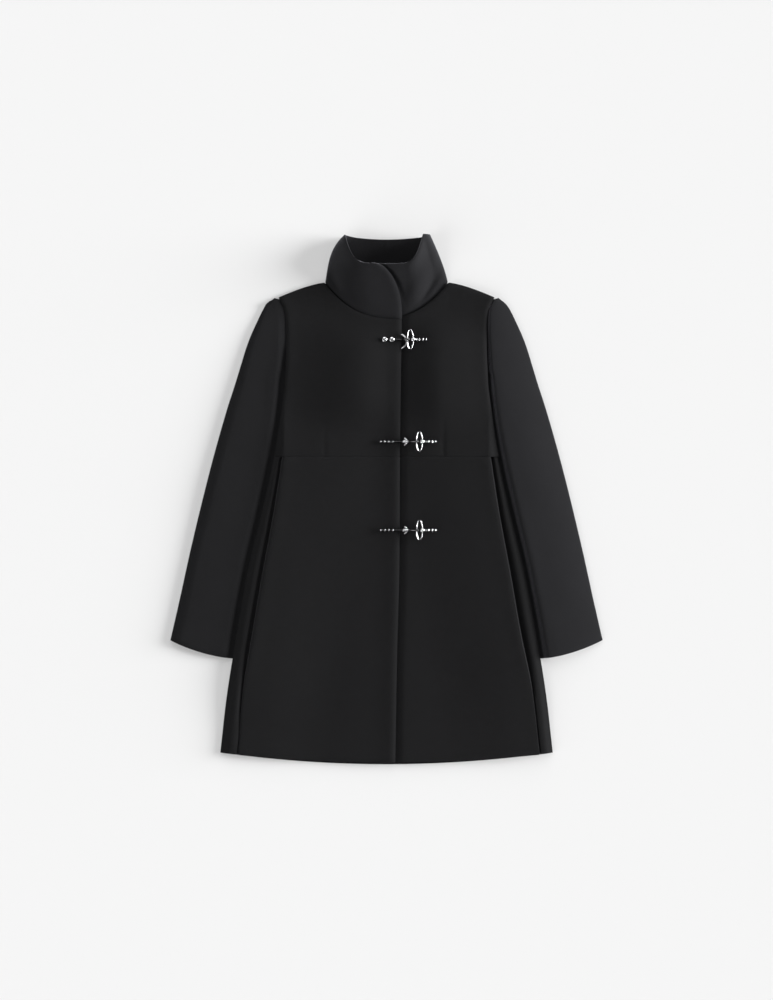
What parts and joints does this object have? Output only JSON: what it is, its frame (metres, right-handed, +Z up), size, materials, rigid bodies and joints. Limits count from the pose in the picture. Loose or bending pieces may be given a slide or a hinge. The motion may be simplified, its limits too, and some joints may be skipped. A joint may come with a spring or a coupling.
{
  "type": "wool coat",
  "caption": "A-line wool coat laid flat with a high waist seam, side pleats, tall stand collar, long sleeves and hook-and-ring clasps holding its lapped fronts.",
  "frame": {"origin": "on the surface the coat lies on, under the middle of its bounding box", "axes": "+X across the coat towards the wearer's left sleeve, +Y from hem to collar, +Z up out of the coat's front"},
  "size_m": [0.7342, 0.898, 0.048],
  "materials": {
    "wool": "matte black wool coating with a short nap",
    "metal": "polished black nickel plate"
  },
  "bodies": {
    "root": {"back": "wool", "bodice_over": "wool", "bodice_under": "wool", "skirt_over": "wool", "skirt_under": "wool", "sleeve_right": "wool", "sleeve_left": "wool", "collar": "wool", "clasp_top_hook": "metal", "clasp_top_ring": "metal", "clasp_top_eye": "metal", "clasp_waist_hook": "metal", "clasp_waist_ring": "metal", "clasp_waist_eye": "metal", "clasp_skirt_hook": "metal", "clasp_skirt_ring": "metal", "clasp_skirt_eye": "metal"}
  },
  "joints": []
}
